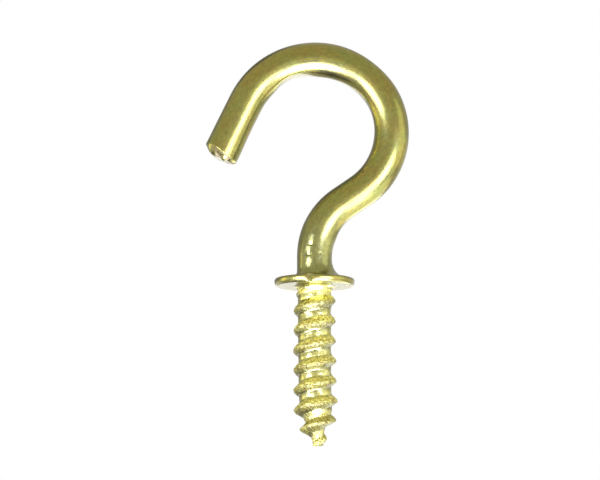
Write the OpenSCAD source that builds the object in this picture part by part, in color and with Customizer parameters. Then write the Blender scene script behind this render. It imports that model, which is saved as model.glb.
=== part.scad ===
// Cup hook: one length of round wire, bent into an open bow at the top, upset into a thin
// collar in the middle and rolled into a coarse wood-screw thread at the bottom.
// Frame: the origin is the middle of the collar's underside, the screw points down -Z and
// the bow stands in the XZ plane with its open side towards -X.

/* [Wire] */
// Diameter of the wire
wire_d = 3.0; // [2:0.1:4]

/* [Hook] */
// Length of the straight neck, from the top of the collar to the first bend
neck_l = 2.04; // [1.9:0.02:6]
// Centre-line radius of the bend that leans the wire back
lean_r = 5.45; // [3:0.05:10]
// Angle of the bend that leans the wire back
lean_angle = 55.3; // [40:0.1:65]
// Length of the short straight between the leaning bend and the bow
link_l = 2.0; // [0.5:0.1:5]
// Centre-line radius of the back of the bow
back_r = 6.25; // [4:0.05:12]
// Angle that the back of the bow turns through
back_angle = 93.8; // [60:0.1:100]
// Centre-line radius of the top and front of the bow
front_r = 6.7; // [4:0.1:12]
// Angle that the top and front of the bow turn through
front_angle = 115.7; // [90:0.1:135]
// Length of the straight arm at the open end of the bow
arm_l = 5.5; // [2:0.1:8]
// Depth of the flat that the bending pin pressed into the inside of the bow
nip_depth = 0.3; // [0.1:0.02:0.4]
// Length of that flat along the wire
nip_l = 4.8; // [3:0.1:6]
// Angle along the top and front of the bow at which the flat is deepest
nip_angle = 73; // [30:1:90]
// Radius of the rubbed edge at the arm's cropped end
crop_round = 1.1; // [0.3:0.05:1.3]
// Shift of that rubbed edge, which leaves it fuller outside the bow than inside
crop_shift = 0.15; // [0.05:0.01:0.3]

/* [Collar] */
// Diameter of the collar
collar_d = 6.9; // [6.2:0.1:12]
// Thickness of the collar
collar_t = 0.66; // [0.42:0.02:1.4]
// Rounding of the collar's rim
rim_round = 0.2; // [0.1:0.01:0.2]
// Radius of the hollow flare that joins the collar's top to the neck
flare_r = 1.6; // [0.8:0.05:1.7]
// Sideways shift of the flare towards the back of the bow, left by the upsetting
flare_shift = 0.3; // [0.1:0.02:0.4]
// Radius of the fillet under the collar
seat_fillet = 0.4; // [0.2:0.02:0.6]

/* [Screw] */
// Length from the collar's underside to the point
screw_l = 13.85; // [9:0.05:30]
// Height of the thread's crests over the wire's surface, close to the collar
crest_rise = 0.28; // [0.1:0.02:0.5]
// Height of the crests over the wire's surface, where the point begins
crest_end_rise = 0.38; // [0.1:0.02:0.5]
// Depth of the thread's root under the wire's surface, close to the collar
root_drop = 0.07; // [0.02:0.01:0.3]
// Depth of the thread's root under the wire's surface, where the point begins
root_end_drop = 0.11; // [0.02:0.01:0.4]
// Distance from one crest to the next
pitch = 1.73; // [1.2:0.01:2.2]
// Length over which the thread rises under the collar
runout_l = 0.5; // [0.4:0.1:2]
// Length of the tapered point
taper_l = 3.0; // [1.5:0.1:5]
// Diameter of the blunt tip
tip_d = 0.8; // [0.4:0.05:1.2]
// Height of the torn step at the tip
tip_step = 0.3; // [0.1:0.05:0.6]
// Angle round the screw at which the thread ends
tip_angle = 295; // [0:5:355]
// Sideways drift of the tip towards the back of the bow
tip_lean = 0.3; // [0:0.05:0.5]

/* [Hidden] */

$fn = 48;
wire_r = wire_d / 2;
brass = [0.71, 0.63, 0.26];
// Swell of the wire at the joint of two bends, far below the wire's own tolerance
joint_swell = 0.003;
// Depth of the short cone that leads from the collar's fillet into the thread's root
cone_l = 0.4;

// --- Threaded skin ---
// The skin is a grid whose rows run along the helix, so that every crest is a clean line.
// A turn count u runs down the screw. One turn is one pitch, except for the first, which
// is squeezed inside the neck, and the last, which is squeezed into the step at the tip.
steps = 36;
// One thread's section, from crest to crest: [place along the pitch, share of its height]
section = [[0, 1], [0.09, 0.92], [0.18, 0.56], [0.28, 0.24],
           [0.39, 0.02], [0.6, 0], [0.72, 0.42], [0.84, 0.88]];
rows = len(section);
turns = ceil((screw_l - tip_step) / pitch);
skin_top = turns * pitch - (screw_l - tip_step);
top_step = 0.3;

function lerp(a, b, t) = a + (b - a) * t;
function clamp(t) = min(1, max(0, t));
function smooth(t) = clamp(t) * clamp(t) * (3 - 2 * clamp(t));
// Share of the tapered point passed at the depth d: 0 where it begins and 1 at the tip
function point_share(d) = clamp((d - (screw_l - taper_l)) / taper_l);
// Share of the parallel part of the screw passed at the depth d
function shank_share(d) = clamp(d / (screw_l - taper_l));
function root_r(d) = wire_r - lerp(root_drop, root_end_drop, shank_share(d));
// Towards the tip the core draws in quickly at first, and the crests follow it later
function core_r(d) = lerp(root_r(d), tip_d / 2, 1 - pow(1 - point_share(d), 1.7));
function crest_top(d) = wire_r + lerp(crest_rise, crest_end_rise, shank_share(d));
function crest_r(d) = lerp(crest_top(d), tip_d / 2, pow(point_share(d), 1.45));
function thread_h(d) = (crest_r(d) - core_r(d)) * smooth((d - seat_fillet) / runout_l);
// The screw's middle line drifts sideways, hardly at first and then faster
function drift(d) = tip_lean * pow(max(d, 0) / screw_l, 4);

function turn_depth(u) =
    u < 1 ? -skin_top - top_step * (1 - u)
    : u < turns + 1 ? pitch * (u - 1) - skin_top
    : screw_l - tip_step * (turns + 2 - u);
function skin_point(i, j) =
    let (place = section[i % rows],
         d = turn_depth(floor(i / rows) + place[0] + 1 - j / steps),
         r = core_r(d) + thread_h(d) * place[1],
         a = tip_angle + 360 * j / steps)
    [r * cos(a) + drift(d), r * sin(a), -d];

module threaded_skin() {
    last = (turns + 1) * rows;
    // Past the last column a row goes on as the column 0 of the row one turn above
    function id(i, j) = j < steps ? i * steps + j : (i - rows) * steps;
    points = [for (i = [0 : last], j = [0 : steps - 1]) skin_point(i, j)];
    top = len(points);
    tip = top + 1;
    // The edges of the skin's two ends, each one turn of the helix and the step that shuts it
    top_edge = concat([for (j = [0 : steps - 1]) id(0, j)],
                      [for (i = [1 : rows]) id(i, steps - 1)]);
    tip_edge = concat([for (j = [0 : steps - 1]) id(last, j)],
                      [for (i = [last - rows : last - 1]) id(i, 0)]);
    cells = [for (i = [0 : last - 1], j = [0 : steps - 1]) if (j < steps - 1 || i >= rows) [i, j]];
    faces = concat(
        [for (c = cells) [id(c[0], c[1]), id(c[0], c[1] + 1), id(c[0] + 1, c[1])]],
        [for (c = cells) [id(c[0], c[1] + 1), id(c[0] + 1, c[1] + 1), id(c[0] + 1, c[1])]],
        [for (k = [0 : len(top_edge) - 1])
            [top, top_edge[(k + 1) % len(top_edge)], top_edge[k]]],
        [for (k = [0 : len(tip_edge) - 1])
            [tip, tip_edge[k], tip_edge[(k + 1) % len(tip_edge)]]]);
    ends = [[0, 0, skin_top + top_step / 2], [tip_lean, 0, -screw_l]];
    polyhedron(concat(points, ends), faces);
}

// The fillet under the collar, and the short cone that leads into the thread's root
module seat_neck() {
    translate([0, 0, -seat_fillet]) rotate_extrude() difference() {
        square([wire_r + seat_fillet, seat_fillet + collar_t / 2]);
        translate([wire_r + seat_fillet, 0]) circle(r = seat_fillet);
    }
    translate([0, 0, -seat_fillet - cone_l])
        cylinder(r1 = root_r(seat_fillet) - 0.1, r2 = wire_r, h = cone_l);
}

// A ball that closes the joint between two lengths of wire
module joint() {
    sphere(r = wire_r + joint_swell);
}

// A straight length of wire that starts at the origin and runs up +Z. What follows it is
// placed at its end, and so on along the wire.
module straight(l) {
    cylinder(r = wire_r, h = l);
    translate([0, 0, l]) children();
}

// A bend of the wire that turns it towards +X (side 1) or -X (side -1)
module bend(r, angle, side) {
    rotate([0, 0, side > 0 ? 180 : 0]) translate([-r, 0, 0]) rotate([90, 0, 0])
        rotate_extrude(angle = angle) translate([r, 0]) circle(r = wire_r);
    translate([side * r, 0, 0]) rotate([0, side * angle, 0]) translate([-side * r, 0, 0]) {
        joint();
        children();
    }
}

// The arm, cropped at its far end. Its rubbed edge stands off centre, so the arm is cut
// with a round-edged puck that is a little wider than the wire.
module cropped_arm() {
    puck_r = wire_r + crop_shift + 0.02;
    intersection() {
        cylinder(r = wire_r, h = arm_l);
        translate([-crop_shift, 0, 0]) rotate_extrude() {
            square([puck_r, arm_l - crop_round]);
            square([puck_r - crop_round, arm_l]);
            intersection() {
                translate([puck_r - crop_round, arm_l - crop_round]) circle(r = crop_round);
                square([puck_r, arm_l]);
            }
        }
    }
}

// The pin that pressed the flat, standing across the wire inside the front of the bow. Its
// curve is tighter than the bow's inside, by just enough to run out over the flat's length.
module bending_pin() {
    inner_r = front_r - wire_r;
    pin_r = 1 / (1 / inner_r + 8 * nip_depth / pow(nip_l, 2));
    translate([-front_r, 0, 0]) rotate([0, -nip_angle, 0])
        translate([inner_r + nip_depth - pin_r, 0, 0]) rotate([90, 0, 0])
            cylinder(r = pin_r, h = 2 * wire_d, center = true);
}

module hook() {
    translate([0, 0, collar_t])
        straight(neck_l)
        bend(lean_r, lean_angle, 1)
        straight(link_l)
        bend(back_r, back_angle, -1)
        difference() {
            bend(front_r, front_angle, -1)
                cropped_arm();
            bending_pin();
        }
}

module collar() {
    rotate_extrude() {
        square([collar_d / 2 - rim_round, collar_t]);
        translate([0, rim_round]) square([collar_d / 2, collar_t - 2 * rim_round]);
        for (z = [rim_round, collar_t - rim_round])
            translate([collar_d / 2 - rim_round, z]) circle(r = rim_round);
    }
}

// The hollow flare over the collar. It stands off centre, so it is full on one side of the
// neck and dies out on the other.
module flare() {
    inner_r = wire_r - flare_shift - 0.05;
    r = min(flare_r, collar_d / 2 - rim_round - inner_r - flare_shift);
    translate([flare_shift, 0, collar_t]) rotate_extrude() difference() {
        translate([0, -collar_t / 2]) square([inner_r + r, r + collar_t / 2]);
        translate([inner_r + r, r]) circle(r = r);
    }
}

module cup_hook() {
    color(brass) union() {
        hook();
        collar();
        flare();
        threaded_skin();
        // turned half a column, so that no seam of the cone meets an edge of the skin
        rotate([0, 0, tip_angle + 180 / steps]) seat_neck();
    }
}

cup_hook();
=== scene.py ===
# %% [markdown]
# # A brass cup hook, from wire to wood screw
#
# A cup hook is one length of soft wire. A machine crops it, squeezes a thin collar out of
# its middle, rolls a coarse thread onto one half and bends the other half into a bow. The
# whole thing is then plated with bright yellow brass.
#
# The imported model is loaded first. It is the fixed frame of this lesson: it says where the
# hook is and how large, and the surface made here has to keep to its box.

# %% Load the frame
import bpy
import numpy as np
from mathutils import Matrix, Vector


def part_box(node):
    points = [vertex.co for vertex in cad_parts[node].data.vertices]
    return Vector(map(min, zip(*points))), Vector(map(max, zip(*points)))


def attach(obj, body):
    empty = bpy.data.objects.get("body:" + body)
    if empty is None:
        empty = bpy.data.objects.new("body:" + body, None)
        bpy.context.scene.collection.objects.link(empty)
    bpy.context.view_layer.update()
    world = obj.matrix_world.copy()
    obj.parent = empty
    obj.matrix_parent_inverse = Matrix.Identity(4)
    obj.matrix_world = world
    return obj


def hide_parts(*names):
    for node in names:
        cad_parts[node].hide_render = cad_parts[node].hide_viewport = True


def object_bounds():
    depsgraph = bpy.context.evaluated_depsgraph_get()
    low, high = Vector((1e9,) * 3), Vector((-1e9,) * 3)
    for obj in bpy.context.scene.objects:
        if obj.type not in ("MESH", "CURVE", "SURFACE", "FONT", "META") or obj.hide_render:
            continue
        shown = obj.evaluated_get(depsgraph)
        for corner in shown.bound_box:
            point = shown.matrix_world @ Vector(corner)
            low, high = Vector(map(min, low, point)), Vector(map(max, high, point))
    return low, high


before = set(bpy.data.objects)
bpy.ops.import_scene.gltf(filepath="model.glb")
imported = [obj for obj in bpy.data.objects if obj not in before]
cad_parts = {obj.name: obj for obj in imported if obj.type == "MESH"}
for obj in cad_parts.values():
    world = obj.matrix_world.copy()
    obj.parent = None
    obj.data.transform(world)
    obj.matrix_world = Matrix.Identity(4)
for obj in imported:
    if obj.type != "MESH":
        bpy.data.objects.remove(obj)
cad_box = [list(corner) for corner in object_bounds()]
METRES = 0.001  # the hook's lengths in this lesson are in millimetres
low, high = (np.array(corner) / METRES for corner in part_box("cup_hook"))
print("solid's box in mm:", low.round(2), high.round(2))

# %% [markdown]
# ## The sizes
#
# These are the sizes that a hook maker would quote. Apart from the plate's thickness they
# are the solid's own, so the finished surface lies on it. The frame gives the two that it
# can measure by itself: the length of the screw and the width of the collar. The bow is a
# chain of straights and bends, and each bend has a radius on the wire's middle line and an
# angle in degrees.

# %% Sizes of the hook
wire_r = 1.5
plate_t = 0.015
neck_l = 2.04
lean_r, lean_angle = 5.45, 55.3
link_l = 2.0
back_r, back_angle = 6.25, 93.8
front_r, front_angle = 6.7, 115.7
arm_l = 5.5
collar_r = (high[1] - low[1]) / 2
collar_t = 0.66
flare_r = 1.6
screw_l = round(-low[2], 3)
tip_lean = 0.3
print(f"collar {2 * collar_r:.2f} mm wide, screw {screw_l:.2f} mm long")

# %% [markdown]
# ## The centre line of the wire
#
# A bender feeds wire past a pin, so a bent wire is a row of stretches, each with a length
# and a curvature. The curvature can be drawn as a graph along the wire. Its running sum is
# the heading, and the running sum of the heading is the place. This is simpler than
# joining arcs by their centres, and it lets the bends begin softly, as they do in real
# wire, because the graph can be blurred before it is summed. Towards the tip the line
# drifts sideways by a fourth power, because the screw's point was torn off to one side.

# %% Curvature, heading and place along the wire
STEP = 0.01
BLUR_L = 1.2  # length over which a bend begins
stretches = [  # length, and bend radius: less than 0 where it turns towards the bow's back
    (collar_t + neck_l, 0),
    (np.radians(lean_angle) * lean_r, -lean_r),
    (link_l, 0),
    (np.radians(back_angle) * back_r, back_r),
    (np.radians(front_angle) * front_r, front_r),
    (arm_l, 0),
]
ends = np.cumsum([length for length, _ in stretches])
wire_end = ends[-1]
along = np.arange(-screw_l, wire_end + 1, STEP)
curvature = np.zeros_like(along)
for (length, radius), end in zip(stretches, ends):
    if radius:
        curvature[(along >= end - length) & (along < end)] = 1 / radius
soft = np.hanning(int(BLUR_L / STEP))
curvature = np.convolve(curvature, soft / soft.sum(), "same")
heading = np.pi / 2 + np.cumsum(curvature) * STEP
line_x = np.cumsum(np.cos(heading)) * STEP
line_z = np.cumsum(np.sin(heading)) * STEP
line_x -= np.interp(0, along, line_x)
line_z -= np.interp(0, along, line_z)
line_x += tip_lean * (np.minimum(along, 0) / screw_l) ** 4
bent = np.degrees(heading[-1]) - 90
print(f"{wire_end + screw_l:.1f} mm of wire, turned through {bent:.1f} degrees in all")


def on_wire(s, turn, radius):
    """Points round the wire: the centre line's place at the length s, plus the radius
    towards the angle turn. Turn 0 is the right-hand side of the heading, which is outside
    the bow, and a quarter turn is towards the front, -Y."""
    way = np.interp(s, along, heading)
    x = np.interp(s, along, line_x) + radius * np.cos(turn) * np.sin(way)
    z = np.interp(s, along, line_z) - radius * np.cos(turn) * np.cos(way)
    return np.stack([x, -radius * np.sin(turn), z], axis=-1)


# %% [markdown]
# ## Random relief that repeats
#
# Cropping, rolling and plating leave small random marks. They come from a table of random
# numbers that is read with a smooth blend between its cells. One direction of the table
# runs round the wire and closes on itself, so the marks have no seam. A fixed seed makes
# them the same in every run. A noise texture could push the mesh out instead, but it
# couldn't give each lap of the thread its own marks or stop them at an edge.

# %% Smooth noise on the wire's skin
COLUMNS = 160  # points round the wire
turns = np.arange(COLUMNS) / COLUMNS * 2 * np.pi
TABLE_START, TABLE_L = -20, 80  # the lengths that every random table covers


def marks(turn, s, cells_round, cell_l, seed):
    """Smooth noise from -1 to 1 at the angle turn and the length s. A random table has
    cells_round cells round the wire and one cell each cell_l along it, and each point
    blends its four nearest cells with a smoothstep of its place between them."""
    rows = int(TABLE_L / cell_l) + 2
    table = np.random.default_rng(seed).uniform(-1, 1, (rows, cells_round))
    u = turn / (2 * np.pi) * cells_round
    v = (s - TABLE_START) / cell_l
    i, j = np.floor(v).astype(int), np.floor(u).astype(int)
    a, b = v - i, u - j
    a, b = a * a * (3 - 2 * a), b * b * (3 - 2 * b)
    j, k = j % cells_round, (j + 1) % cells_round
    upper = table[i, j] * (1 - b) + table[i, k] * b
    lower = table[i + 1, j] * (1 - b) + table[i + 1, k] * b
    return upper * (1 - a) + lower * a


print(f"{COLUMNS} points round the wire, one every {2 * np.pi * wire_r / COLUMNS:.3f} mm")

# %% [markdown]
# ## Soft edges
#
# Every mark on the hook fades out, because metal flows and the plate rounds what is left.
# The smoothstep is the plainest curve that is level at both ends. A window is two of them
# back to back, and a patch is one that fades from its middle in all directions.

# %% Steps, windows and patches
def smooth(t):
    """The smoothstep of t: 0 below 0, 1 above 1 and 3 t squared less 2 t cubed between."""
    t = np.clip(t, 0, 1)
    return t * t * (3 - 2 * t)


def window(t, start, rise, stop, fall):
    """A smoothstep up over the length rise from start, times one down over the length fall
    to stop, so it is 1 in the middle and 0 outside."""
    return smooth((t - start) / rise) * smooth((stop - t) / fall)


def aside(turn, at_turn):
    """The angle from at_turn to turn the short way round, from minus pi to pi."""
    return np.angle(np.exp(1j * (turn - at_turn)))


def patch(turn, s, at_turn, at_s, half_turn, half_s):
    """A soft oval patch: the smoothstep of 1 less the distance from its middle, where both
    half widths count as 1."""
    return smooth(1 - np.hypot(aside(turn, at_turn) / half_turn, (s - at_s) / half_s))


print("smoothstep at a quarter, a half and three quarters:", smooth([0.25, 0.5, 0.75]))

# %% [markdown]
# ## The bow and the neck
#
# The wire keeps its round section round the bow, except where tools bore on it. A bending
# pin stands square across the wire, so it presses a flat: the section is then a circle
# with one side cut straight. One pin nipped the inside of the bow deeply near its top, and
# three others are felt more than seen. The metal that the tight bend at the neck squeezed
# together swells on its inner side, and so does the arm's inner side by its cropped end.
# The pliers left three tooth marks on the neck's front. Each mark could be cut with a
# boolean or sculpted. Here each is a short formula with its place in a list, so it can be
# moved or deepened by itself.

# %% Flats and tooth marks
PIN_FLATS = [  # turn that it faces, length at its middle, depth, half length
    (0, 8.3, 0.02, 1.3),
    (np.pi, 28.7, 0.31, 2.4),
    (0, 21.8, 0.08, 1.8),
    (np.pi, 19.6, 0.08, 3.4),
]
TOOTH_MARKS = [  # turn and half width round the wire, top, length, depth at the bottom
    (1.88, 0.21, 4.28, 0.95, 0.11),
    (1.93, 0.18, 3.68, 1.2, 0.094),
    (1.90, 0.18, 2.30, 1.0, 0.066),
]


def pressed(r, s, turn, side, at_s, depth, half_l):
    """The radius r after a round pin has pressed a flat towards the angle side. The flat
    is deepest at at_s, runs out half_l from there by a parabola, and is a straight line
    across the section. The two surfaces blend by a smooth minimum, so no edge is sharp."""
    flat = wire_r - depth * (1 - ((s - at_s) / half_l) ** 2)
    flat = flat / np.maximum(np.cos(turn - side), 0.2)
    sharp = 25
    gap = np.clip(sharp * (r - flat), -40, 40)
    return r - np.log1p(np.exp(gap)) / sharp


def tooth_mark(s, turn, at_turn, half_turn, top, length, depth):
    """The depth of one tooth's dent. It grows evenly down from its top, so it has a facet
    that faces down, and ends in a short step back to the wire's surface. Its sides are
    smoothsteps, and its middle strays to and fro by a sine."""
    step_l, side_width, stray = 0.06, 0.09, 0.02 * np.sin(5 * s)
    ramp = np.clip(np.minimum((top - s) / length, (s - top + length) / step_l), 0, 1)
    off = np.abs(aside(turn, at_turn + stray))
    return depth * ramp * smooth((half_turn - off) / side_width)


print(len(PIN_FLATS), "pins' flats and", len(TOOTH_MARKS), "tooth marks")

# %% [markdown]
# ## One radius for the whole wire
#
# All the marks meet in one number: the wire's radius at a length and an angle. Adding and
# taking away there keeps the skin whole, where separate cuts would leave edges to clean.
# A very slight waviness, thinner than a hair, is added as well. Drawn wire is never quite
# even, and without it the long reflections look machined.

# %% Radius of the bent wire
SWELLINGS = [  # turn and length at its middle, half width round the wire, half length, height
    (0, 6.1, 1.3, 4.0, 0.15),
    (0, 10.0, 1.2, 3.0, 0.08),
    (np.pi, 38.2, 1.2, 2.2, 0.07),
]
long_wave, short_wave = 0.010, 0.004
speck_depth = 0.008


def wire_radius(s, turn):
    """The wire's radius with its plate, plus a long and a short waviness and the swellings,
    less the pins' flats, the tooth marks and some fine specks beside those marks."""
    r = wire_r + plate_t
    r = r + long_wave * marks(turn, s, 7, 2.6, 11) + short_wave * marks(turn, s, 16, 0.8, 12)
    for at_turn, at_s, half_turn, half_s, height in SWELLINGS:
        r = r + height * patch(turn, s, at_turn, at_s, half_turn, half_s)
    for flat in PIN_FLATS:
        r = pressed(r, s, turn, *flat)
    for place in TOOTH_MARKS:
        r = r - tooth_mark(s, turn, *place)
    specks = marks(turn, s, 100, 0.13, 52) * patch(turn, s, 1.25, 2.3, 0.34, 1.4)
    return r - speck_depth * specks


nip_s = PIN_FLATS[1][1]
across = wire_radius(nip_s, 0) + wire_radius(nip_s, np.pi)
print(f"across the deepest flat the wire measures {across:.2f} mm")

# %% [markdown]
# ## The cropped end
#
# The blade that cropped the wire came in from outside the bow. It dragged the metal down
# with it and tore off the rest, and plating then covered the rim. The face is a height
# over a flat end: an edge zone that falls away slowly and then faster, a few bumps that
# the tearing left standing, and a fine grain between them. Fracture tools could break a
# cylinder too, but their break would be a second piece with a seam round its rim. Here the
# rim's height also says where the side of the wire stops, so side and face meet in one
# line.

# %% Height of the cropped end
BUMPS = [  # place outwards and to the front in radii, half width in radii, height in mm
    (0.60, 0.40, 0.38, 0.20),
    (-0.34, 0.61, 0.27, 0.15),
    (0.37, 0.27, 0.12, 0.06),
    (0.26, 0.31, 0.10, 0.05),
]
edge_width, wider_outside, wider_in_front = 0.68, 0.47, 0.14
face_tilt = 0.07


def bump(x, y, at_x, at_y, half):
    """A soft round bump: the smoothstep of 1.2 times what is left of 1 after the distance
    from its middle over its half width. The 1.2 makes its top a little flat."""
    return smooth(1.2 * (1 - np.hypot(x - at_x, y - at_y) / half))


def crop_height(x, y):
    """How far the face stands back from the wire's far end at the place x, y across it. In
    the edge zone it grows with the way into the zone and with its square, times the zone's
    width, which is a constant plus a cosine and a sine of the turn. A tilt towards the
    inside of the bow is added, the bumps are taken off, and the grain comes on top."""
    rho, turn = np.hypot(x, y), np.arctan2(y, x)
    edge = edge_width + wider_outside * np.cos(turn) + wider_in_front * np.sin(turn)
    edge = edge * (1 + 0.10 * marks(turn, rho * 0, 7, 1.0, 20))
    into = ((rho * wire_r - wire_r + edge) / edge).clip(0, 1)
    torn = sum(height * bump(x, y, *place) for *place, height in BUMPS)
    grain = 0.035 * marks(turn, rho * 4, 13, 1.0, 21) + 0.02 * marks(turn, rho * 8, 26, 1.0, 22)
    grain = grain * (1.15 - rho).clip(0, 1) * smooth((rho - 0.25) / 0.3)
    return edge * (0.22 * into + 0.4 * into ** 2) + face_tilt * (1 - x) - torn + grain


rim = crop_height(np.cos(turns), np.sin(turns))[None, :]
print(f"the rim stands {rim.min():.2f} to {rim.max():.2f} mm back from the wire's end")

# %% [markdown]
# ## Rings of the face and of the wire
#
# A skin is easy to close when it is a stack of rings with the same number of points. The
# rings of the face grow from its middle to the rim, and those of the wire run on from
# there, down the arm and round the bow to the collar. They lie close together where the
# shape is fine: at the rim, and on the neck with its tooth marks.

# %% Rings from the cropped face to the collar's flare
ARM_STRETCH = 2.5  # length of the arm over which the rings bend to meet the rim
FINE_FROM = 5.5  # length below which the rings lie close, for the tooth marks


def face_rows():
    """Rings of the cropped face at even distances from its middle, and the rim. The last
    ring but one lies close to the rim, which keeps it crisp, and less so in front."""
    rho = np.append(np.linspace(0.04, 0.97, 27), 1)[:, None] * np.ones(COLUMNS)
    rho[-2] = 0.992 - 0.04 * patch(turns, 0, 1.1, 0, 0.45, 1)
    s = wire_end - crop_height(rho * np.cos(turns), rho * np.sin(turns))
    return on_wire(s, turns, rho * wire_r), s, rho


def bow_rows():
    """Rings of the wire from the rim of the cropped face down to the collar's flare. The
    last few millimetres of the arm stretch by a smoothstep, so that they end in the rim."""
    s = np.concatenate([
        [wire_end, wire_end - 0.012],
        np.linspace(wire_end - 0.07, wire_end - 0.9, 13),
        np.linspace(wire_end - 1.0, FINE_FROM, 90),
        np.linspace(FINE_FROM - 0.05, collar_t + flare_r, 80)])
    s = s[:, None] * np.ones(COLUMNS)
    s = s - rim * smooth(1 - (wire_end - s) / ARM_STRETCH)
    return on_wire(s, turns, wire_radius(s, turns)), s


face, face_s, face_rho = face_rows()
bow, bow_s = (grid[1:] for grid in bow_rows())  # its first ring is the face's last one
print(len(face), "rings on the face and", len(bow), "on the bow and the neck")

# %% [markdown]
# ## The collar
#
# The collar is upset, which means that the wire was squeezed endwise in a die until its
# middle swelled into a disc. Its profile is drawn once, as radius and height from the neck
# to the thread: the top, a rounded rim that leans in below as it left the die, the
# underside and a small fillet. It could be a cylinder with bevelled edges, but a drawn
# profile gives each of its edges a radius of its own.

# %% Profile of the collar
def arc(centre, radius, start, stop, count):
    """Points of an arc: the centre plus the radius towards angles from start to stop."""
    a = np.radians(np.linspace(start, stop, count))
    return np.stack([centre[0] + radius * np.cos(a), centre[1] + radius * np.sin(a)], axis=-1)


def level_line(start, stop, count, z):
    """Points of a level line: radii at even distances from start to stop, at the height z."""
    return np.stack([np.linspace(start, stop, count), np.full(count, z)], axis=-1)


seat_fillet = 0.4
top_round = 0.2
draft_r, draft = 0.75, 28  # radius of the rim's lower part, and the angle that it leans to
top_in, draft_in = collar_r - top_round, collar_r - draft_r
seam_z = collar_t - top_round
draft_x, draft_z = arc((draft_in, seam_z), draft_r, 0, -draft, 2)[1]
low_round = draft_z / (1 - np.sin(np.radians(draft)))
low_x = draft_x - low_round * np.cos(np.radians(draft))
profile = np.concatenate([
    level_line(wire_r + 0.9, top_in, 10, collar_t)[:-1],
    arc((top_in, seam_z), top_round, 90, 0, 7)[:-1],
    arc((draft_in, seam_z), draft_r, 0, -draft, 8)[:-1],
    arc((low_x, low_round), low_round, -draft, -90, 7),
    level_line(low_x, wire_r + seat_fillet, 12, 0)[1:-1],
    arc((wire_r + seat_fillet, -seat_fillet), seat_fillet, 90, 180, 8),
])
print(f"{len(profile)} points, the lower edge rounded by {low_round:.2f} mm")

# %% [markdown]
# ## The flare and the nick
#
# Over the disc the metal runs up into the neck as a hollow flare. It is full on one side
# and dies out on the other, because the die gripped the wire off centre, and the die's
# edge left one nick in the rim. A Screw modifier could turn the profile into a disc, but
# neither flare nor nick is the same all round, so both are worked out for each angle.

# %% Rings of the flare and of the disc
HOLLOW_SIDE = 0.35  # width that the flare loses where it dies out, and share that is left
BLEND = 0.06  # width of the blend between the flare and the wire
nick_turn, nick_half, nick_depth = 1.70, 0.17, 0.03


def collar_rows():
    """Rings of the flare, then of the disc. The flare's width over the wire is a hollow
    quarter circle less its loss on one side, joined to the wire by a smooth maximum with 0.
    The disc's radius is the profile's, uneven towards the rim and pulled in at the nick."""
    h = flare_r * np.linspace(1, 0.03, 30)[:, None] ** 1.5
    hollow = flare_r - np.sqrt(flare_r ** 2 - (flare_r - h) ** 2)
    share = 0.5 + 0.5 * np.cos(turns)
    s = collar_t + h * np.ones(COLUMNS)
    gain = BLEND * np.log1p(np.exp((hollow - HOLLOW_SIDE * (1 - share)) / BLEND))
    gain = gain * (HOLLOW_SIDE + (1 - HOLLOW_SIDE) * share) * smooth((flare_r - h) / 0.5)
    flare = on_wire(s, turns, wire_radius(s, turns) + gain)
    disc_r, disc_s = profile[:, :1], profile[:, 1:] * np.ones(COLUMNS)
    uneven = 0.006 * marks(turns, 0 * turns, 9, 1.0, 31)
    r = disc_r * (1 + uneven * smooth((disc_r - wire_r) / 1.5))
    nick = smooth(1.8 * patch(turns, 0, nick_turn, 0, nick_half, 1)) * (r > low_x + 0.02)
    r = r + nick * (collar_r - nick_depth - r)
    return np.concatenate([flare, on_wire(disc_s, turns, r)]), np.concatenate([s, disc_s])


collar, collar_s = (grid[1:] for grid in collar_rows())  # its first ring is the neck's last
print(len(collar), "rings on the collar")

# %% [markdown]
# ## The rolled thread
#
# Dies roll the thread into the wire, as one helix from the collar to the point. The phase
# says how far a place is from its crest, counted in pitches: it grows with the depth and
# falls by one each time round, which is what makes a right-hand helix. A profile swept
# along a helix would also give a thread, but on the point, where core and crest draw in by
# rules of their own, it would need a second shape.

# %% Places on the thread
pitch = 1.73
taper_l = 3.0
tip_r = 0.38
root_r = wire_r - np.array([0.07, 0.11])  # by the collar, and where the point begins
crest_r = wire_r + np.array([0.25, 0.35])  # at the same two places
first_crest = 1.32  # depth of the first crest on the outer side of the wire
LAP_STEP = 3.1  # moves each lap of the thread to a row of its own in the random tables


def point_share(depth):
    """Share of the tapered point that is passed at a depth, from 0 to 1."""
    return np.clip((depth - (screw_l - taper_l)) / taper_l, 0, 1)


def lap_place(depth, turn):
    """The phase, the row of the random tables for the lap of the nearest crest, and how far
    below that crest the point is, in pitches from -0.5 to 0.5. The crest strays a little."""
    phase = (depth - first_crest) / pitch - turn / (2 * np.pi)
    lap = np.round(phase)
    row = lap * LAP_STEP
    return phase, row, phase - lap + 0.02 * marks(turn, row, 14, 1.0, 43)


print(f"{(screw_l - seat_fillet) / pitch:.1f} laps of thread")

# %% [markdown]
# ## Crests, roots and the torn lip
#
# Rolling presses the root into the wire and pushes its metal up into a crest, so the crest
# stands proud of the wire and its lip is torn here and there. The surface is therefore a
# height over the core, and its roughness grows with that height. A displacement map could
# add the roughness later, but the torn lip changes the outline and has to be in the mesh.

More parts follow.
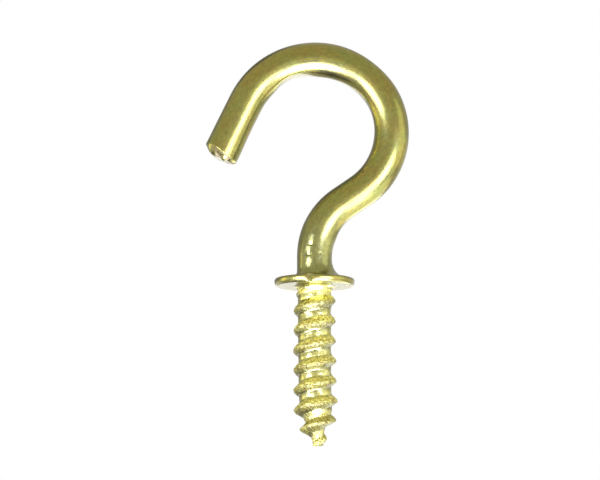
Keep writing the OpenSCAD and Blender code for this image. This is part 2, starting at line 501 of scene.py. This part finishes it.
# %% Height of the thread
def thread_radius(depth, turn):
    """The core, which draws in towards the point, plus the thread: a smoothstep flank on
    each side of a narrow crest, and a flat root between them. The tearing of its lip grows
    with the square of the height. Three things are added: a burr on the last crest, a grain
    that is rough on the crests and along the point, and a rolled unevenness in the root.
    The thread's height as a share is given back with the radius."""
    p = point_share(depth)
    shank = [0, screw_l - taper_l]
    core = np.interp(depth, shank, root_r)
    core = core + (tip_r - core) * (1 - (1 - p) ** 1.7)
    crest = np.interp(depth, shank, crest_r)
    crest = crest + (tip_r - crest) * p ** 1.45
    _, row, off = lap_place(depth, turn)
    tear = marks(turn, row, 40, 1.0, 41) + 0.6 * marks(turn, row, 90, 1.0, 42)
    height = 1 - smooth(np.where(off > 0, off / 0.3, (-off - 0.05) / 0.37))
    rise = smooth((depth - seat_fillet) / 0.45)
    r = core + (crest - core) * rise * height * (1 + 0.12 * tear * height)
    burr = patch(turn, depth, 3.3, 12.45, 1.0, 0.45)
    grain = marks(turn, depth, 60, 0.16, 44) + marks(turn, depth, 110, 0.09, 45)
    rough = 0.3 + 1.2 * smooth(2 * height) + 1.2 * smooth(8 * p) * (1 - height)
    rolled = marks(turn, depth, 13, 0.28, 46) * (1 - height)
    return r + 0.16 * burr + (0.022 * grain * rough + 0.014 * rolled) * rise, height * rise


screw_depth = np.linspace(seat_fillet + 0.02, screw_l - 0.02, 300)[:, None] * np.ones(COLUMNS)
screw_s = -screw_depth
screw_r, screw_crest = thread_radius(screw_depth, turns)
screw = on_wire(screw_s, turns, screw_r)
print(f"{len(screw)} rings on the screw, {2 * screw_r.max():.2f} mm over its widest crest")

# %% [markdown]
# ## One skin
#
# The rings of the four parts follow each other from the cropped face to the tip, so they
# form one grid, and the grid is the whole hook. Two poles close its ends. Four pieces
# could be joined by booleans instead, but bright metal shows every seam that they leave.

# %% Grid of rings into a mesh
def skin(name, rings):
    """Closes a grid of rings: a quad between each four neighbours, the last column meeting
    the first, and a fan of triangles at each end."""
    count, columns = rings.shape[:2]
    poles = np.stack([rings[0].mean(axis=0), rings[-1].mean(axis=0)])
    points = np.concatenate([rings.reshape(-1, 3), poles])
    i, j = np.meshgrid(np.arange(count - 1), np.arange(columns), indexing="ij")
    k = (j + 1) % columns
    quads = np.stack([i * columns + j, i * columns + k,
                      (i + 1) * columns + k, (i + 1) * columns + j], axis=-1).reshape(-1, 4)
    c = np.arange(columns)
    d = (c + 1) % columns
    first, last = count * columns, count * columns + 1
    far = (count - 1) * columns
    fans = np.concatenate([np.stack([np.full(columns, first), d, c], axis=-1),
                           np.stack([np.full(columns, last), far + c, far + d], axis=-1)])
    mesh = bpy.data.meshes.new(name)
    mesh.from_pydata((points * METRES).tolist(), [], quads.tolist() + fans.tolist())
    mesh.shade_smooth()
    mesh.validate()
    piece = bpy.data.objects.new(name, mesh)
    bpy.context.scene.collection.objects.link(piece)
    return piece


hook = skin("wire_hook", np.concatenate([face, bow, collar, screw]))
print(f"{len(hook.data.polygons)} faces between {len(hook.data.vertices)} points")

# %% [markdown]
# ## Inside and outside
#
# A face has a front, and other programs may draw nothing for its back. The volume of a
# closed skin is positive only when all its faces look outwards, so its sign is a sure
# test, where an operator that recalculates the normals has to guess.

# %% Which way the faces point
def volume(mesh):
    """Signed volume in cubic millimetres: the sum over the triangles of a third of each
    one's corner times its normal and area. It is positive when the faces point outwards."""
    mesh.calc_loop_triangles()
    corners = np.zeros(len(mesh.loop_triangles) * 3, np.int32)
    mesh.loop_triangles.foreach_get("vertices", corners)
    places = np.zeros(len(mesh.vertices) * 3)
    mesh.vertices.foreach_get("co", places)
    a, b, c = places.reshape(-1, 3)[corners.reshape(-1, 3)].transpose(1, 0, 2) / METRES
    return np.einsum("ij,ij->i", a, np.cross(b, c)).sum() / 6


if volume(hook.data) < 0:
    hook.data.flip_normals()
print(f"{volume(hook.data):.1f} cubic mm, with the faces outwards")

# %% [markdown]
# ## What each point remembers
#
# The finish depends on how each place was made, so every point of the skin keeps six
# things besides its place. The first is where it was on the straight wire before bending,
# so that drawing lines follow the bow. The others are shares: how far it was worked, from
# 0 on drawn wire to 1 on the thread, how far its plate was torn through, how much of a
# matt lip it is, a level of painted light and shade that scales its colour, and how dull
# it is near the collar. They could be painted by hand, but a painted mesh has to be
# painted again after each change.
#
# On the cropped face the bumps keep their plate, the inner corner is as smooth as the
# wire, and the rim in front is a matt burr. The metal between them is bare. The burr and
# the edge of the inner corner are also painted darker, as painted shade.

# %% Windows on the cropped face
inner_side = window(turns, 2.3, 0.3, 3.6, 0.3)  # where the blade only rubbed the corner
corner = inner_side * smooth((face_rho - 0.6) / 0.2)
rim_burr_and_shade = smooth((face_rho - 0.9) / 0.05) * window(turns, 1.3, 0.2, 3.3, 0.3) * (1 - corner)
face_x, face_y = face_rho * np.cos(turns), face_rho * np.sin(turns)
plated = sum(bump(face_x, face_y - 0.13, *place) for *place, _ in BUMPS).clip(0, 1)
torn_ring = smooth((face_rho - 0.4) / 0.15) * (1 - 0.6 * smooth((face_rho - 0.9) / 0.1))
face_bare = window(face_rho, 0.45, 0.12, 1, 0.07) * (1 - plated) * (1 - inner_side)
print(f"{100 * face_bare.mean():.0f} per cent of the face's points are bare")

# %% [markdown]
# ## Painted light and shade on the flanks, and matt lips
#
# The thread's colour is painted darker just below each crest and lighter half a pitch on,
# in the root and on the flank over the next crest. This is painted shade and painted light
# for the way they catch the lamps. The dies tear the lip, which stays matt and grainy. Both
# follow the helix, so they are read from the same phase and height as the thread's shape.
# A pattern painted on the screw would slip off its crests as soon as the pitch is changed.

# %% Painted light and shade on the thread
# PLAIN is the painted light and shade level away from the thread.
PLAIN = 0.45  # brightness away from the thread


def thread_painted_light_and_shade(depth, turn):
    """Painted light and shade on the thread, as a level that scales its colour: a cosine of
    the phase, least just below a crest and most half a pitch on, plus a painted glint close
    above the next crest. It is full under the collar, as painted light, and falls off on
    the point."""
    phase, _, off = lap_place(depth, turn)
    bright = 0.5 - 0.5 * np.cos(2 * np.pi * (phase - 0.15))
    bright = bright + 0.1 * smooth(np.cos(2 * np.pi * (off - 0.4)))
    bright = bright + (1.0 - bright) * smooth((0.9 - depth) / 0.4)
    return bright * (1 - 0.45 * smooth(8 * point_share(depth)))


def matt_lip(depth, height):
    """Share of torn, matt lip: the greatest of three. A smoothstep of the thread's height,
    weaker on the first lap, one close under the collar, and one along the point."""
    lip = smooth(1.9 * height) * (0.4 + 0.6 * smooth((depth - 0.8) / 2))
    under_collar = 0.7 * smooth((0.8 - depth) / 0.3)
    on_point = 0.55 * smooth(8 * point_share(depth))
    return np.maximum(lip, np.maximum(under_collar, on_point))


screw_lip = matt_lip(screw_depth, screw_crest)
screw_painted_light_and_shade = thread_painted_light_and_shade(screw_depth, turns)
print(f"the thread's brightness is {screw_painted_light_and_shade.min():.2f} to {screw_painted_light_and_shade.max():.2f}")

# %% [markdown]
# ## Keeping the shares on the mesh
#
# Blender stores a named attribute with each point, and a material can read it by its name.
# Vertex groups could hold the shares too, but an attribute is set for all points at once.

# %% Six attributes for the finish
def on_skin(face_part, bow_part, collar_part, screw_part):
    """One value for each point of the skin, from a number or a grid for each of its parts."""
    parts = (face_part, face_s), (bow_part, bow_s), (collar_part, collar_s), (screw_part, screw_s)
    return np.concatenate([np.broadcast_to(part, s.shape) for part, s in parts])


def keep(mesh, name, values):
    """Stores a number or a vector for each point as a named attribute. The two poles take
    the mean of their ring."""
    poles = np.stack([values[0].mean(axis=0), values[-1].mean(axis=0)])
    flat = np.concatenate([values.reshape(-1, *values.shape[2:]), poles])
    kind, field = ("FLOAT_VECTOR", "vector") if values.ndim == 3 else ("FLOAT", "value")
    mesh.attributes.new(name, kind, "POINT").data.foreach_set(field, flat.ravel())
    print(name, flat.min().round(2), "to", flat.max().round(2))


length_on = on_skin(face_s, bow_s, collar_s, screw_s)
reach = on_skin(wire_r, wire_r, np.hypot(collar[..., 0], collar[..., 1]), wire_r)
straight = np.stack([reach * np.cos(turns), reach * np.sin(turns), length_on], axis=-1)
keep(hook.data, "straight_wire", straight)
keep(hook.data, "worked", on_skin(
    np.maximum(torn_ring * (1 - corner), rim_burr_and_shade),
    0,
    np.maximum(0.3 * window(collar_s, 0.5, 0.2, 2, 1.3), smooth((0.3 - collar_s) / 0.4)),
    smooth((screw_depth + 0.3) / 0.5)))
keep(hook.data, "bare", on_skin(face_bare, 0, 0, 0))
keep(hook.data, "crest", on_skin(rim_burr_and_shade, 0, 0, screw_lip))
# Painted light and shade: on the cropped face the level is lowered at the inner corner and on the
# rim's burr, as painted shade. In the fillet under the collar it is raised, as painted light.
keep(hook.data, "painted_light_and_shade", on_skin(
    PLAIN * (1 - corner) * (1 - 0.8 * rim_burr_and_shade),
    PLAIN,
    PLAIN + 0.8 * smooth((-0.02 - collar_s) / 0.12),
    screw_painted_light_and_shade))
keep(hook.data, "haze", window(length_on, 0.4, 0.3, 7.5, 4))

# %% [markdown]
# ## The brass plate
#
# The plate is thin and bright. Where it is smooth it is yellow with a green cast, and it
# carries a faint mottle of pink and green that is drawn out along the wire. Near the
# collar it is duller. On the thread it is rougher and more golden, on the torn lips it is
# nearly matt, and on the cropped face it is torn through. Five materials could show that,
# but they would meet in hard borders, and on a real hook each finish fades into the next.
# So one metal shader is mixed from five finishes, by the shares that each point has kept.
# A clear coat over it adds a second, softer reflection, as the lacquer on the plate does.
#
# Its nodes are added by small helpers, so that the recipe after them can be read as one.

# %% An empty material and its patterns
brass = bpy.data.materials.new("brass_plate")
brass.use_nodes = True
nodes, links = brass.node_tree.nodes, brass.node_tree.links
shader = nodes["Principled BSDF"]


def attribute(name, output="Fac"):
    """What each point keeps under a name: a number, or with output Vector a vector."""
    node = nodes.new("ShaderNodeAttribute")
    node.attribute_name = name
    return node.outputs[output]


def noise(vector, scale, detail, stretch=(1, 1, 1)):
    """Smooth noise from 0 to 1, with scale cells a millimetre and detail finer layers over
    it. A stretch below 1 along an axis draws it out that way."""
    place = nodes.new("ShaderNodeMapping")
    place.inputs["Scale"].default_value = stretch
    links.new(vector, place.inputs["Vector"])
    node = nodes.new("ShaderNodeTexNoise")
    node.inputs["Scale"].default_value = scale
    node.inputs["Detail"].default_value = detail
    links.new(place.outputs["Vector"], node.inputs["Vector"])
    return node.outputs["Fac"]


print("new material:", brass.name)

# %% Helpers that turn a pattern into colours and numbers
def ramp(factor, stops):
    """A colour for each value of the factor: even blends between (value, colour) stops."""
    node = nodes.new("ShaderNodeValToRGB")
    elements = node.color_ramp.elements
    while len(elements) < len(stops):
        elements.new(0.5)
    for element, (place, colour) in zip(elements, stops):
        element.position = place
        element.color = (*colour, 1)
    links.new(factor, node.inputs["Fac"])
    return node.outputs["Color"]


def grey_ramp(factor, least, most):
    """A plain number for each value of the factor: least at 0.3 and most at 0.7."""
    return ramp(factor, [(0.3, (least,) * 3), (0.7, (most,) * 3)])


def scaled(factor, least, most, start=0.3, end=0.7):
    """A straight line through least where the factor is start and most where it is end."""
    node = nodes.new("ShaderNodeMapRange")
    limits = {"From Min": start, "From Max": end, "To Min": least, "To Max": most}
    for name, value in limits.items():
        node.inputs[name].default_value = value
    links.new(factor, node.inputs["Value"])
    return node.outputs["Result"]


def mix(factor, a, b, kind="MIX"):
    """The colour a with a share of b: (1 - factor) a + factor b, or for the kind MULTIPLY
    a times b."""
    node = nodes.new("ShaderNodeMix")
    node.data_type = "RGBA"
    node.blend_type = kind
    for name, value in (("Factor", factor), ("A", a), ("B", b)):
        if isinstance(value, (int, float)):
            node.inputs[name].default_value = value
        else:
            links.new(value, node.inputs[name])
    return node.outputs["Result"]


print(len(nodes), "nodes before the recipe")

# %% [markdown]
# ## Five finishes
#
# Each finish is a colour of brass with the flecks of its making: drawn wire, the duller
# wire by the collar, the rolled thread, its torn lip, and the torn metal of the cropped
# end. A fixed colour for each would look like paint, so noise read on the straight wire
# wanders between two or three colours.

# %% Five finishes of the brass
wire = attribute("straight_wire", "Vector")
work, bare, crest = attribute("worked"), attribute("bare"), attribute("crest")
# The painted light and shade level, as a factor of 0.56 to 2.4 on the colour.
painted_light_level = scaled(attribute("painted_light_and_shade"), 0.56, 2.4, 0, 1)
drawn = ramp(noise(wire, 1.3, 3, (1, 1, 0.5)), [
    (0.35, (0.340, 0.262, 0.021)), (0.5, (0.32, 0.28, 0.026)), (0.65, (0.303, 0.296, 0.033))])
dull = ramp(noise(wire, 3.0, 3), [(0.4, (0.31, 0.285, 0.047)), (0.6, (0.30, 0.30, 0.057))])
rolled = ramp(noise(wire, 3.0, 5), [
    (0.3, (0.21, 0.18, 0.035)), (0.5, (0.27, 0.25, 0.065)), (0.7, (0.35, 0.33, 0.12))])
lip = ramp(noise(wire, 6.0, 4), [
    (0.36, (0.25, 0.18, 0.03)), (0.5, (0.35, 0.31, 0.055)), (0.64, (0.45, 0.42, 0.10))])
torn = ramp(noise(wire, 3.5, 3), [
    (0.4, (0.42, 0.30, 0.14)), (0.5, (0.34, 0.27, 0.09)), (0.6, (0.27, 0.25, 0.07))])
print(len(nodes), "nodes for the finishes and their patterns")

# %% [markdown]
# ## From finishes to plate
#
# The finishes are laid over each other by the shares: first along the smooth wire, then on
# the thread, then on the cropped face. Roughness is mixed in the same way, so a matt place
# is matt in colour and in gleam. The lines of the drawing die are far too fine for the
# mesh, so they only tilt the light, by a bump that is drawn out along the wire.

# %% Mix them on the hook
smooth_wire = mix(attribute("haze"), drawn, dull)
# The thread's and the torn face's colours are multiplied by the painted light and shade level.
thread = mix(1.0, mix(crest, rolled, lip), painted_light_level, "MULTIPLY")
colour = mix(bare, mix(work, smooth_wire, thread), mix(1.0, torn, painted_light_level, "MULTIPLY"))
speckle = scaled(noise(wire, 5.0, 5, (1, 1, 0.6)), 0.82, 1.18)
links.new(mix(1.0, colour, speckle, "MULTIPLY"), shader.inputs["Base Color"])
wire_rough = grey_ramp(noise(wire, 1.4, 3), 0.19, 0.26)
rolled_rough = grey_ramp(noise(wire, 4, 3), 0.24, 0.36)
lip_rough = grey_ramp(noise(wire, 4, 3), 0.58, 0.75)
rough = mix(work, wire_rough, mix(crest, rolled_rough, lip_rough))
links.new(rough, shader.inputs["Roughness"])
links.new(scaled(work, 1.0, 0.6, 0, 1), shader.inputs["Coat Weight"])
shader.inputs["Coat Roughness"].default_value = 0.3
shader.inputs["Metallic"].default_value = 1.0
shader.inputs["Specular Tint"].default_value = (0.7, 0.7, 0.7, 1)
drawing_lines = nodes.new("ShaderNodeBump")
drawing_lines.inputs["Strength"].default_value = 0.4
drawing_lines.inputs["Distance"].default_value = 0.01 * METRES
links.new(noise(wire, 9, 3, (1, 1, 0.35)), drawing_lines.inputs["Height"])
links.new(drawing_lines.outputs["Normal"], shader.inputs["Normal"])

hook.data.materials.append(brass)
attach(hook, "root")
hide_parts("cup_hook")
print(len(nodes), "nodes in all, on", hook.name)

# %% [markdown]
# ## Floor
#
# The hook is shown as it hangs, high over a pale floor. A floor close under it would show
# as a grey band in every reflection, and no floor at all would leave its underside too
# bright. The stage is measured in metres.

# %% Floor
def floor(size, depth):
    """A square floor of one face, a plain pale matt grey, at a depth under the hook."""
    corners = [(x * size, y * size, depth) for x, y in ((-1, -1), (1, -1), (1, 1), (-1, 1))]
    mesh = bpy.data.meshes.new("floor")
    mesh.from_pydata(corners, [], [(0, 1, 2, 3)])
    material = bpy.data.materials.new("matt_floor")
    material.use_nodes = True
    surface = material.node_tree.nodes["Principled BSDF"]
    surface.inputs["Base Color"].default_value = (0.85, 0.85, 0.85, 1)
    surface.inputs["Roughness"].default_value = 0.9
    mesh.materials.append(material)
    piece = bpy.data.objects.new("floor", mesh)
    bpy.context.scene.collection.objects.link(piece)
    print(f"{2 * size} m wide, {-depth} m under the hook")


floor(1.5, -0.4)

# %% [markdown]
# ## Background
#
# Bright metal has no look of its own: it shows its surroundings. So the background is
# white for the camera and for reflections, and lights everything else at a lower level.
# More light would whiten it as well, but it would wash out the hook too.

# %% Background
def background(light):
    """A world that is white to the camera, to reflections and through glass, and lights
    everything else at the given level. The greatest of three ray flags picks between them."""
    world = bpy.data.worlds.new("studio")
    bpy.context.scene.world = world
    world.use_nodes = True
    tree = world.node_tree
    sky = tree.nodes["Background"]
    sky.inputs["Color"].default_value = (1, 1, 1, 1)
    path = tree.nodes.new("ShaderNodeLightPath")
    seen = path.outputs["Is Camera Ray"]
    for ray in ("Is Glossy Ray", "Is Transmission Ray"):
        either = tree.nodes.new("ShaderNodeMath")
        either.operation = "MAXIMUM"
        tree.links.new(seen, either.inputs[0])
        tree.links.new(path.outputs[ray], either.inputs[1])
        seen = either.outputs["Value"]
    strength = tree.nodes.new("ShaderNodeMapRange")
    strength.inputs["To Min"].default_value = light
    strength.inputs["To Max"].default_value = 1.0
    tree.links.new(seen, strength.inputs["Value"])
    tree.links.new(strength.outputs["Result"], sky.inputs["Strength"])


background(light=0.6)
print("background:", bpy.context.scene.world.name)

# %% [markdown]
# ## Lamps
#
# On bright wire each lamp shows as one pale streak along the bend, so a lamp is placed by
# the streak that it draws. Three soft boxes low in front draw the long ones. Their light
# is bluish, which gives the yellow metal its green cast. Those at the sides and behind
# lift the wire's rims. A picture of a studio wrapped round the scene would be quicker to
# set up, but its lamps couldn't be moved one by one.

# %% Lamps
middle = Vector((cad_box[0][k] + cad_box[1][k]) / 2 for k in range(3))
COOL = (0.93, 1, 1.75)
NEUTRAL = (0.95, 1, 1.3)
WARM = (1, 0.93, 0.62)


def towards(side, rise):
    """The direction that is side degrees round from the front and rise degrees up."""
    a, e = np.radians(side), np.radians(rise)
    return Vector((np.sin(a) * np.cos(e), -np.cos(a) * np.cos(e), np.sin(e)))


def soft_box(name, side, rise, spread, level, colour=NEUTRAL, distance=0.3):
    """An oval lamp that faces the middle of the hook. Spread is half its width and height
    as seen from there, in degrees. Level is its brightness, where 1 is white paper: its
    power is the level times pi times the oval's area."""
    way = towards(side, rise)
    data = bpy.data.lights.new(name, "AREA")
    data.shape = "ELLIPSE"
    data.size, data.size_y = (2 * distance * np.tan(np.radians(angle)) for angle in spread)
    data.energy = level * np.pi * data.size * data.size_y * np.pi / 4
    data.color = colour
    lamp = bpy.data.objects.new(name, data)
    lamp.location = middle + way * distance
    lamp.rotation_euler = way.to_track_quat("Z", "Y").to_euler()
    lamp.visible_camera = False
    lamp.visible_diffuse = False
    bpy.context.scene.collection.objects.link(lamp)


soft_box("low_front", 6, -50, (31, 22), 13, COOL)
soft_box("front_left", -41, -15, (19, 17), 10, COOL)
soft_box("front_right", 36, -13, (17, 13), 9, COOL)
soft_box("low_right", 112, -52, (46, 28), 1.5)
soft_box("rear_right", 150, -36, (18, 14), 2.7)
soft_box("right_glow", 74, 4, (24, 28), 0.75)
soft_box("left_glow", -98, -5, (12, 14), 1.7, WARM)
soft_box("rear_left", -139, -20, (8, 7), 2.4)
print(len(bpy.data.lights), "lamps")

# %% [markdown]
# ## Cards
#
# White all round makes metal look flat, because nothing dark marks where it curves away.
# Whoever lights silverware sets up cards for that. Four of these grey or darken a part of
# the surroundings, and a pale one low behind brightens it. Only reflections show them, so
# they can stand where a real card would be in the way.

# %% Cards
def card(name, side, rise, spread, level, distance=0.3):
    """A card that only reflections show, as bright as level all over. Its place and spread
    are given as for a soft box."""
    way = towards(side, rise)
    wide, tall = distance * np.tan(np.radians(spread))
    corners = [(-wide, -tall, 0), (wide, -tall, 0), (wide, tall, 0), (-wide, tall, 0)]
    mesh = bpy.data.meshes.new(name)
    mesh.from_pydata(corners, [], [(0, 1, 2, 3)])
    material = bpy.data.materials.new(name)
    material.use_nodes = True
    surface = material.node_tree.nodes["Principled BSDF"]
    surface.inputs["Base Color"].default_value = (0, 0, 0, 1)
    surface.inputs["Specular IOR Level"].default_value = 0
    surface.inputs["Emission Color"].default_value = (1, 1, 1, 1)
    surface.inputs["Emission Strength"].default_value = level
    mesh.materials.append(material)
    piece = bpy.data.objects.new(name, mesh)
    piece.location = middle + way * distance
    piece.rotation_euler = way.to_track_quat("Z", "Y").to_euler()
    piece.visible_camera = piece.visible_diffuse = piece.visible_shadow = False
    bpy.context.scene.collection.objects.link(piece)
    print(f"{name}: {2 * wide:.2f} by {2 * tall:.2f} m")


card("grey_ceiling", 0, 90, (82.9, 82.9), 0.66, distance=0.5)
card("dark_card_low", -125, -72, (22, 22), 0.1)
card("dark_card_above", -145, 46, (14, 14), 0.2)
card("grey_card_behind", -134, 14, (34, 19), 0.42, distance=0.36)
card("pale_card_low", 180, -9, (20, 5), 2.2, distance=0.35)

# %% [markdown]
# ## Camera
#
# The camera stands straight in front and a little below, so the collar's underside just
# comes into view. A long lens far away keeps near and far parts the same size, as in a
# catalogue, where a short lens would swell the part nearest to it.

# %% Camera
def camera(aim, rise, distance, field):
    """A long lens aimed at a point, in millimetres on the hook, from straight in front.
    Rise is its angle over the horizon, distance is in metres, and field is the width in
    metres that it takes in at the aim: the sensor's width times distance over field is
    the focal length."""
    data = bpy.data.cameras.new("camera")
    data.sensor_width = 36
    data.lens = data.sensor_width * distance / field
    e = np.radians(rise)
    way = Vector((0, -np.cos(e), np.sin(e)))
    place = bpy.data.objects.new("camera", data)
    place.location = Vector(aim) * METRES + way * distance
    place.rotation_euler = way.to_track_quat("Z", "Y").to_euler()
    bpy.context.scene.collection.objects.link(place)
    bpy.context.scene.camera = place
    print(f"a lens of {data.lens:.0f} mm")


camera(aim=(-1.25, 0, 4.05), rise=-8.5, distance=0.40, field=0.05184)
bpy.context.scene.view_settings.view_transform = "Standard"

# %% [markdown]
# ## The two boxes
#
# The finished surface stands for the solid in every later use, so it has to fill the same
# box. The plate, the torn arm's end and the point are where the two can differ.

# %% Finish
print("the hook and its stage are set up")
